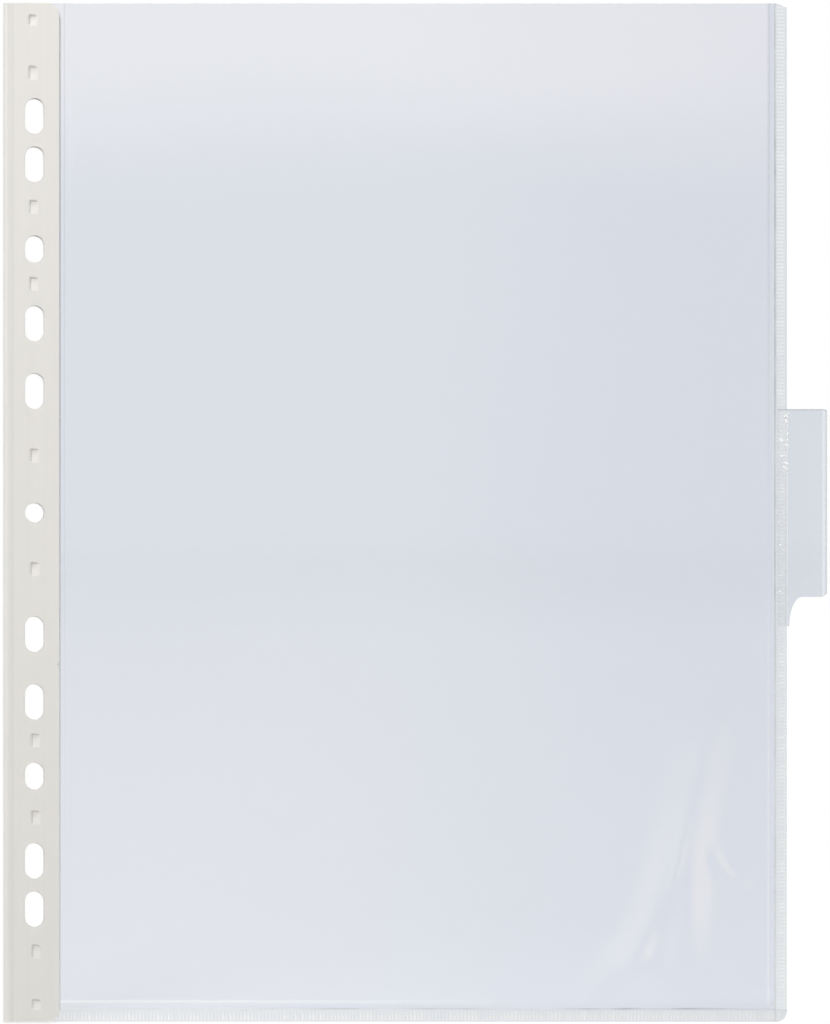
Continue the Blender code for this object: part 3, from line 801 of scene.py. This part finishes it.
film_plastic = clear_film("clear_polypropylene_film", "E9EBF0")
window_size = [length + WINDOW_PLAY for length in POST_SIZE]
window = prism("window", rounded_box(*window_size, POST_CORNER, POST_CORNER_STEPS), -THROUGH, THROUGH)
windows = punches("windows", window, WELD_POINTS, film_plastic, WELD_LEAN)
front_film = film_sheet("front_pocket_film", -1, FRONT_RISE, front_waves)
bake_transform(front_film)
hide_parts("front_film", "front_film_margin")
back_film = film_sheet("back_pocket_film", 1, BACK_RISE, back_waves)
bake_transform(back_film)
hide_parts("back_film", "back_film_margin")


# Seams: the two films fused into one band along the right and the bottom by a heated wheel, whose teeth leave
# a close row of ridges across the band, shallower on the inner side. A painted highlight makes the crests
# lighter, most at the left end and the top.
KNURL_PITCH = 0.0011
KNURL_HEIGHT = 0.00012
PITCH_POINTS = 8  # of the band's grid on each pitch, and its rows across the band
BAND_ROWS = 15
RIDGE_STEPS = (  # start and end of a step in a ridge, in widths from the middle, and what is left before it
    (-0.40, -0.30, 0.0), (0.10, 0.02, 0.5), (0.42, 0.32, 0.0),
)
TOOTH_LEAST = 0.45  # share of the height that the weakest tooth leaves
CLUSTER = 7.0  # teeth in a stretch that took the heat alike
HEAT_RANGE = (0.35, 0.6)  # of the noise, between the coolest stretch and a whole ridge
HEAT_LEAST = 0.55
MERGE_DISTANCE = 1e-7
# Painted highlight on the ridges' crests.
CREST_HIGHLIGHT = 0.4
LEFT_HIGHLIGHT = 0.9  # how much brighter the crests' painted highlight is at the left end
TOP_HIGHLIGHT = 0.6  # and at the top
SEAM_SHADE = (0.02, 0.18)  # of the bottom seam at the left end, and how much more at the right
SEAM_FACE = 0.000275
PAGE_CORNER_RADIUS = 0.003
PAGE_CORNER_STEPS = 16
TOP_CORNER = (0.0034, 0.0014)
KNURL_SEED = 11.0

knurled_band, given = new_tree("knurled_band", {
    "Length": "Float", "Width": "Float", "Thickness": "Float", "Pitch": "Float", "Ridge height": "Float",
    "Cluster": "Float", "Seed": "Float", "Material": "Material",
})
count = calc(knurled_band, "DIVIDE", given["Length"], given["Pitch"])
count = calc(knurled_band, "MULTIPLY", count, PITCH_POINTS)
grid = {"Size X": given["Length"], "Size Y": given["Width"], "Vertices X": count, "Vertices Y": BAND_ROWS}
grid = add_node(knurled_band, "GeometryNodeMeshGrid", grid).outputs["Mesh"]
rise = add_node(knurled_band, "ShaderNodeCombineXYZ", {"Z": given["Thickness"]}).outputs[0]
front = {"Mesh": grid, "Offset": rise, "Offset Scale": 1.0, "Individual": False}
front = add_node(knurled_band, "GeometryNodeExtrudeMesh", front)
spot = add_node(knurled_band, "GeometryNodeInputPosition").outputs[0]
spot = add_node(knurled_band, "ShaderNodeSeparateXYZ", {0: spot}).outputs
turn = calc(knurled_band, "DIVIDE", spot["X"], given["Pitch"])
wave = calc(knurled_band, "COSINE", calc(knurled_band, "MULTIPLY", turn, 2 * math.pi))
wave = add_node(knurled_band, "ShaderNodeMapRange", {"Value": wave, "From Min": -1.0}).outputs[0]
tooth = {"W": calc(knurled_band, "ADD", calc(knurled_band, "ROUND", turn), given["Seed"])}
tooth = add_node(knurled_band, "ShaderNodeTexWhiteNoise", tooth, noise_dimensions="1D").outputs["Value"]
tooth = add_node(knurled_band, "ShaderNodeMapRange", {"Value": tooth, "To Min": TOOTH_LEAST}).outputs[0]
wave = calc(knurled_band, "MULTIPLY", wave, tooth)
heat = calc(knurled_band, "ADD", calc(knurled_band, "DIVIDE", turn, given["Cluster"]), given["Seed"])
heat = {"W": heat, "Scale": 1.0, "Detail": 0.0}
heat = add_node(knurled_band, "ShaderNodeTexNoise", heat, noise_dimensions="1D").outputs["Fac"]
heat = {"Value": heat, "From Min": HEAT_RANGE[0], "From Max": HEAT_RANGE[1], "To Min": HEAT_LEAST}
heat = add_node(knurled_band, "ShaderNodeMapRange", heat, interpolation_type="SMOOTHSTEP").outputs[0]
wave = calc(knurled_band, "MULTIPLY", wave, heat)
across_share = calc(knurled_band, "DIVIDE", spot["Y"], given["Width"])
for low, high, least in RIDGE_STEPS:
    step = {"Value": across_share, "From Min": low, "From Max": high, "To Min": least}
    step = add_node(knurled_band, "ShaderNodeMapRange", step, interpolation_type="SMOOTHSTEP").outputs[0]
    wave = calc(knurled_band, "MULTIPLY", wave, step)
# The crests get a painted highlight.
crest = calc(knurled_band, "MULTIPLY", wave, CREST_HIGHLIGHT)
wave = calc(knurled_band, "MULTIPLY", wave, given["Ridge height"])
wave = add_node(knurled_band, "ShaderNodeCombineXYZ", {"Z": wave}).outputs[0]
ridged = {"Geometry": front.outputs["Mesh"], "Selection": front.outputs["Top"], "Offset": wave}
ridged = {"Geometry": add_node(knurled_band, "GeometryNodeSetPosition", ridged).outputs[0],
          "Selection": front.outputs["Top"], "Name": "stretch", "Value": crest}
ridged = add_node(knurled_band, "GeometryNodeStoreNamedAttribute", ridged).outputs[0]
back = add_node(knurled_band, "GeometryNodeFlipFaces", {"Mesh": grid}).outputs[0]
band = add_node(knurled_band, "GeometryNodeJoinGeometry")
knurled_band.links.new(ridged, band.inputs[0])
knurled_band.links.new(back, band.inputs[0])
band = {"Geometry": band.outputs[0], "Distance": MERGE_DISTANCE}
band = add_node(knurled_band, "GeometryNodeMergeByDistance", band).outputs[0]
band = add_node(knurled_band, "GeometryNodeRealizeInstances", {"Geometry": band}).outputs[0]
band = add_node(knurled_band, "GeometryNodeSetMaterial", {"Geometry": band, "Material": given["Material"]})
add_node(knurled_band, "NodeGroupOutput", {"Geometry": band.outputs[0]})

outer_x, bottom_z, top_z = page_high[0], page_low[2], page_high[2]
outline = [(margin_low[0], top_z), (margin_low[0], bottom_z)]
outline += arc((outer_x - PAGE_CORNER_RADIUS, bottom_z + PAGE_CORNER_RADIUS),
               (PAGE_CORNER_RADIUS, PAGE_CORNER_RADIUS), -90, 0, PAGE_CORNER_STEPS)
outline += [(outer_x, top_z - TOP_CORNER[1]), (outer_x - TOP_CORNER[0], top_z)]

up, right, left = Vector((0, 0, 1)), Vector((1, 0, 0)), Vector((-1, 0, 0))
forward = Vector((0, -1, 0))


def lay(piece, along, across, centre):
    """Puts a piece that was made flat in its place, face forward."""
    turned = Matrix((along, across, forward)).transposed().to_4x4()
    piece.data.transform(Matrix.Translation(centre) @ turned)


def seam(name, along, across, centre, length, plastic):
    """A knurled band turned into its place, trimmed to the outline of the page."""
    sizes = {"Length": length, "Width": SEAM_WIDTH, "Thickness": 2 * SEAM_FACE, "Pitch": KNURL_PITCH,
             "Ridge height": KNURL_HEIGHT, "Cluster": CLUSTER, "Seed": KNURL_SEED, "Material": plastic}
    band = grow(name, knurled_band, sizes)
    lay(band, along, across, (centre[0], SEAM_FACE, centre[1]))
    blank = prism("page_blank", outline, -THROUGH, THROUGH)
    boolean(band, "INTERSECT", blank)
    boolean(band, "DIFFERENCE", windows)
    settle(band, blank)
    x, y, z = corners_of(band)
    mark(band, "crease", weld_lines(x, z) + (z < weld_z) * graded(SEAM_SHADE, right_share(x)))
    # The crests' painted highlight grows towards the left end and the top.
    crests = band.data.attributes["stretch"].data
    clear = np.empty(len(x), np.float32)
    crests.foreach_get("value", clear)
    clear *= 1 + LEFT_HIGHLIGHT * (1 - right_share(x)) + TOP_HIGHLIGHT * height_share(z) ** 2
    crests.foreach_set("value", clear)
    finish_film(band)
    return band


bottom_length = outer_x - margin_low[0]
bottom_centre = (margin_low[0] + bottom_length / 2, bottom_z + SEAM_WIDTH / 2)
foot_plastic = clear_film("fused_polypropylene_foot", "D7DADF")
bottom_seam = seam("bottom_seam", right, up, bottom_centre, bottom_length, foot_plastic)
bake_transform(bottom_seam)
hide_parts("front_film", "front_film_margin", "back_film", "back_film_margin")
side_length = top_z - weld_z
side_plastic = clear_film("fused_polypropylene_seam", "D9DDE1")
side_centre = (outer_x - SEAM_WIDTH / 2, weld_z + side_length / 2)
side_seam = seam("side_seam", up, left, side_centre, side_length, side_plastic)
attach(side_seam, "pocket")
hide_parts("front_film", "back_film")
for tool in (front_punches, back_punches, windows):
    bpy.data.objects.remove(tool)


# Index tab: a stiffer clear film folded in a hairpin, slipped over the side seam and welded to it. The fold
# keeps a slim bead, and the lower edge sweeps down into a narrow foot along the seam.
TAB_THICKNESS = 0.00025
TAB_LEVEL = 0.00065
TAB_INSET = 0.00095
TAB_BEAD_PROUD = 0.0002
TAB_BEAD_BLEND = 0.0008
TAB_TOP_RADIUS = 0.001
TAB_TOP_STEPS = 12
TAB_BOTTOM_RADIUS = 0.002
TAB_BOTTOM_STEPS = 16
TAB_FOOT_REACH = 0.0046  # from the page's edge to where the sweep starts
TAB_FOOT_DROP = 0.0089
TAB_FOOT_END = 0.00075  # how far the foot's tip lies outside the page's edge
TAB_FOOT_STEPS = 24
FUSED_CLEAR = (0.74, 1.0)  # of the stretch over the seam, at the shoulder and at the top
FUSED_FADE = (0.0001, 0.0003)  # it fades out from here inside to here outside the page's edge
TOP_ROWS = (0.0006, 0.0002)  # rows of points under the top edge, which hold its shade
TOP_SHADE = 0.3
TOP_SHADE_WIDTH = 0.0003
FOLD_SHADE = 0.5
FOLD_SHADE_WIDTH = 0.0002
FOLD_GLEAM = 0.3  # painted highlight, on the inner side of the bead
FOLD_GLEAM_GAP = 0.0009
FOLD_GLEAM_WIDTH = 0.0006

tab_low, tab_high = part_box("index_tab")
tab_plastic = clear_film("clear_tab_film", "E9ECF0")
leaf_x = (weld_x + TAB_INSET, outer_x - FUSED_FADE[0], outer_x + FUSED_FADE[1])
tab_path = hairpin(leaf_x, tab_high[0], TAB_LEVEL, TAB_THICKNESS, TAB_BEAD_PROUD, TAB_BEAD_BLEND)
heights = [tab_low[2] - THROUGH, *(tab_high[2] - drop for drop in TOP_ROWS), tab_high[2] + THROUGH]
tab = folded_sheet("folded_index_tab", tab_path, heights, TAB_THICKNESS)
tab.data.materials.append(tab_plastic)
shoulder_z = tab_low[2] + TAB_FOOT_DROP
outline = arc((tab_high[0] - TAB_TOP_RADIUS, tab_high[2] - TAB_TOP_RADIUS),
              (TAB_TOP_RADIUS, TAB_TOP_RADIUS), 90, 0, TAB_TOP_STEPS)
outline += arc((tab_high[0] - TAB_BOTTOM_RADIUS, shoulder_z + TAB_BOTTOM_RADIUS),
               (TAB_BOTTOM_RADIUS, TAB_BOTTOM_RADIUS), 0, -90, TAB_BOTTOM_STEPS)
outline += arc((outer_x + TAB_FOOT_REACH, tab_low[2]), (TAB_FOOT_REACH - TAB_FOOT_END, TAB_FOOT_DROP),
               90, 180, TAB_FOOT_STEPS)
outline += [(weld_x, tab_low[2]), (weld_x, tab_high[2])]
tab_blank = prism("tab_blank", outline, -THROUGH, THROUGH)
boolean(tab, "INTERSECT", tab_blank)
settle(tab, tab_blank)
x, y, z = corners_of(tab)
shade = FOLD_SHADE * bump(x - tab_high[0], FOLD_SHADE_WIDTH)
mark(tab, "crease", shade + TOP_SHADE * bump(z - tab_high[2], TOP_SHADE_WIDTH))
fused = np.interp(z, (shoulder_z, tab_high[2]), FUSED_CLEAR) * (x < outer_x)
mark(tab, "stretch", fused + FOLD_GLEAM * bump(x - tab_high[0] + FOLD_GLEAM_GAP, FOLD_GLEAM_WIDTH))
finish_film(tab)
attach(tab, "pocket")
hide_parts("index_tab")


# Weld beads and knots: where the tab's weld ran too hot, melt was squeezed out. It set in flat beads on the
# face of the tab at the upper end of the weld, and in small knots along the tab's inner edge. The beads'
# milky white is a painted glint, and the grey of a few knots is painted shade.
BEAD_ZONE = ((780, 472), (788, 414))  # lower left and upper right pixels of the picture
BEAD_SIZES = {
    "Density": 0.45e6, "Smallest": (0.00010, 0.00010, 0.00005), "Largest": (0.00045, 0.00080, 0.00014),
    "Darkest": 0.0, "Seed": 4,
}
KNOT_ZONE = ((779, 620), (780.3, 478))
KNOT_SIZES = {
    "Density": 0.5e6, "Smallest": (0.00010, 0.00010, 0.00005), "Largest": (0.00020, 0.00040, 0.00010),
    "Darkest": 1.0, "Seed": 9,
}
BEAD_ROUNDNESS = 3  # subdivisions of a bead
DARK_POWER = 3.0  # keeps most of the knots pale
MELT_CLEAR = 0.1  # share of the light that the beads' painted milky white lets through

bead_field, given = new_tree("bead_field", {
    "Width": "Float", "Length": "Float", "Density": "Float", "Smallest": "Vector", "Largest": "Vector",
    "Darkest": "Float", "Seed": "Int", "Material": "Material",
})
field = {"Size X": given["Width"], "Size Y": given["Length"], "Vertices X": 2, "Vertices Y": 2}
field = add_node(bead_field, "GeometryNodeMeshGrid", field).outputs["Mesh"]
field = {"Mesh": field, "Density": given["Density"], "Seed": given["Seed"]}
field = add_node(bead_field, "GeometryNodeDistributePointsOnFaces", field).outputs["Points"]
dark = {2: 0.0, 3: 1.0, "Seed": given["Seed"]}
dark = add_node(bead_field, "FunctionNodeRandomValue", dark, data_type="FLOAT").outputs[1]
dark = calc(bead_field, "MULTIPLY", calc(bead_field, "POWER", dark, DARK_POWER), given["Darkest"])
field = {"Geometry": field, "Name": "crease", "Value": dark}
field = add_node(bead_field, "GeometryNodeStoreNamedAttribute", field).outputs[0]
size = {0: given["Smallest"], 1: given["Largest"], "Seed": given["Seed"]}
size = add_node(bead_field, "FunctionNodeRandomValue", size, data_type="FLOAT_VECTOR").outputs[0]
turn = {0: (0, 0, 0), 1: (0, 0, math.pi), "Seed": given["Seed"]}
turn = add_node(bead_field, "FunctionNodeRandomValue", turn, data_type="FLOAT_VECTOR").outputs[0]
bead = {"Radius": 1.0, "Subdivisions": BEAD_ROUNDNESS}
bead = add_node(bead_field, "GeometryNodeMeshIcoSphere", bead).outputs["Mesh"]
beads = {"Points": field, "Instance": bead, "Rotation": turn, "Scale": size}
beads = add_node(bead_field, "GeometryNodeInstanceOnPoints", beads).outputs[0]
beads = add_node(bead_field, "GeometryNodeRealizeInstances", {"Geometry": beads}).outputs[0]
beads = add_node(bead_field, "GeometryNodeSetMaterial", {"Geometry": beads, "Material": given["Material"]})
add_node(bead_field, "NodeGroupOutput", {"Geometry": beads.outputs[0]})


# Melt of the tab's weld: milky white on the beads, which is a painted glint, and grey on a few knots, which
# is painted shade.
bead_plastic = clear_film("blushed_tab_film", "FBFBFB", "6F747A")
bead_plastic.node_tree.nodes["Principled BSDF"].inputs["Transmission Weight"].default_value = MELT_CLEAR


def weld_beads(name, low, high, sizes):
    """Beads of melt on the face of the tab, between two pixels of the picture."""
    (left_x, low_z), (right_x, high_z) = from_pixel(*low), from_pixel(*high)
    sizes = {"Width": right_x - left_x, "Length": high_z - low_z, "Material": bead_plastic, **sizes}
    beads = grow(name, bead_field, sizes)
    lay(beads, right, up, ((left_x + right_x) / 2, -TAB_LEVEL - TAB_THICKNESS / 2, (low_z + high_z) / 2))
    beads.data.shade_smooth()
    beads.visible_shadow = False
    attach(beads, "pocket")
    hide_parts("index_tab")


weld_beads("tab_weld_beads", *BEAD_ZONE, BEAD_SIZES)
weld_beads("tab_weld_knots", *KNOT_ZONE, KNOT_SIZES)
